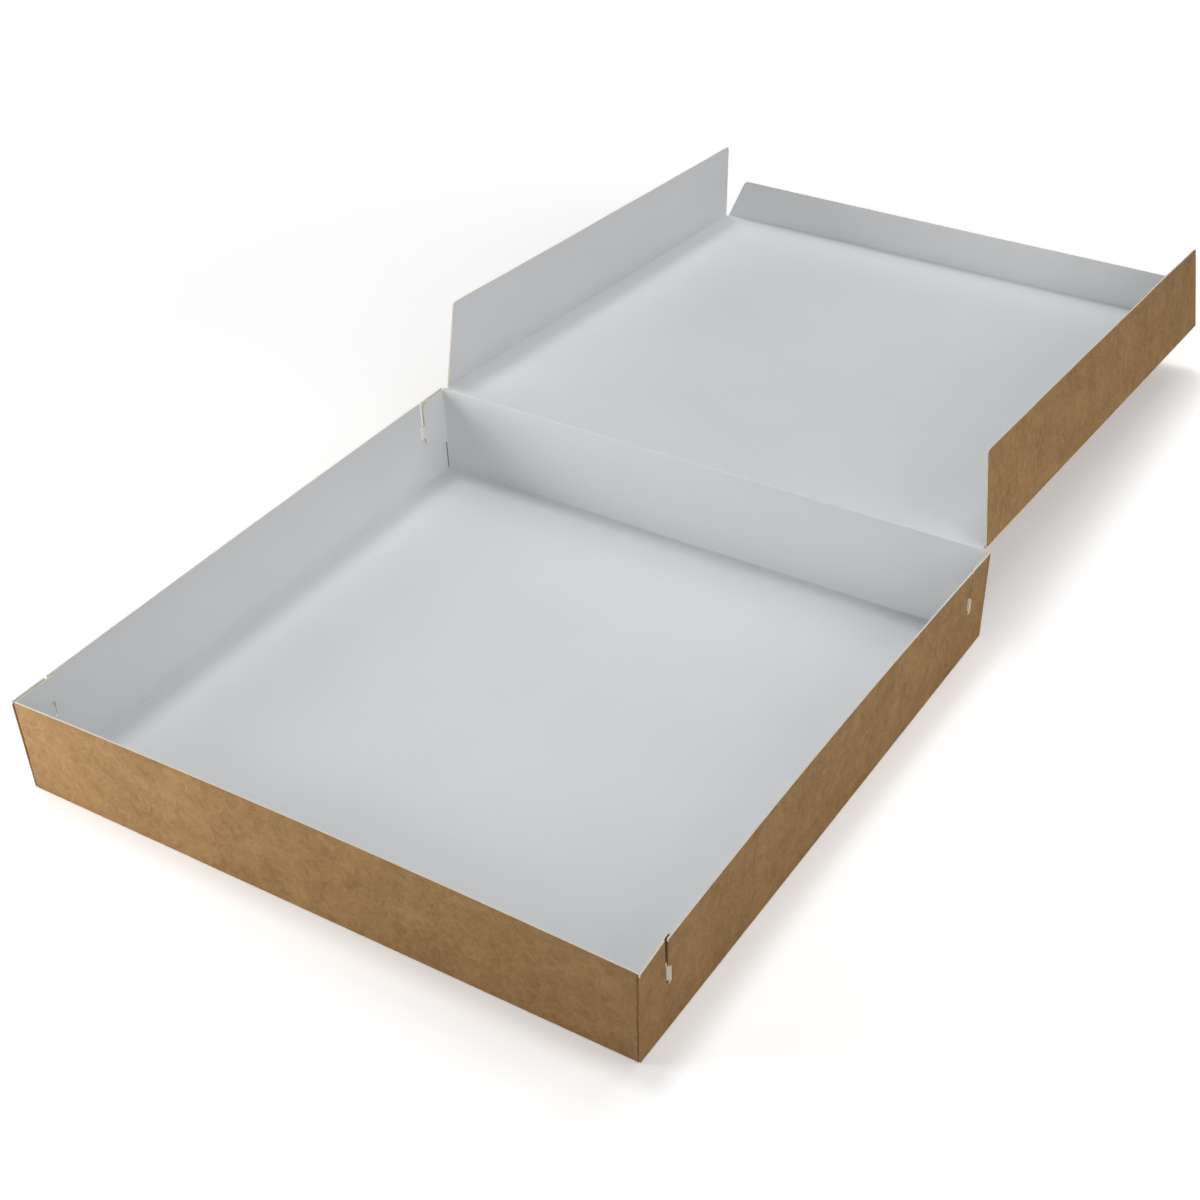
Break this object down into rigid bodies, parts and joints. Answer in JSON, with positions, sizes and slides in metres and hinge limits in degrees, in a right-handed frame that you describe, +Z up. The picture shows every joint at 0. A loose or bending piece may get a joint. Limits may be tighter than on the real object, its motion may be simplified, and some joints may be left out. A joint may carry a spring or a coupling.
{
  "type": "cake box",
  "caption": "Shallow square folded-card box with a hinged lid laid open, its side flaps and front lip folded up, and slotted corner locks.",
  "frame": {"origin": "middle of the tray's flat underside, the face it rests on", "axes": "+Z up out of the tray, +Y from the tray towards the hinge and the open lid, +X to the right along the front wall"},
  "size_m": [0.3244, 0.6386, 0.0984],
  "materials": {
    "tray_card": "matte",
    "lid_card": "matte"
  },
  "bodies": {
    "tray": {"tray": "tray_card"},
    "lid": {"lid_panel": "lid_card"},
    "left_flap": {"lid_flap_left": "lid_card"},
    "right_flap": {"lid_flap_right": "lid_card"},
    "front_lip": {"lid_front_lip": "lid_card"}
  },
  "joints": [
    {"name": "lid_hinge", "type": "hinge", "parent": "tray", "child": "lid", "pos_m": [0, 0.1596, 0.0507], "axis": [1, 0, 0], "range_deg": [-3.8, 184.2]},
    {"name": "left_flap_hinge", "type": "hinge", "parent": "lid", "child": "left_flap", "pos_m": [-0.1573, 0.15964, 0.0512], "axis": [0, 0.9973, -0.0732], "range_deg": [-92, 78]},
    {"name": "right_flap_hinge", "type": "hinge", "parent": "lid", "child": "right_flap", "pos_m": [0.1573, 0.15964, 0.0512], "axis": [0, -0.9973, 0.0732], "range_deg": [-98, 72]},
    {"name": "front_lip_hinge", "type": "hinge", "parent": "lid", "child": "front_lip", "pos_m": [0, 0.47446, 0.02808], "axis": [1, 0, 0], "range_deg": [-90, 20]}
  ]
}
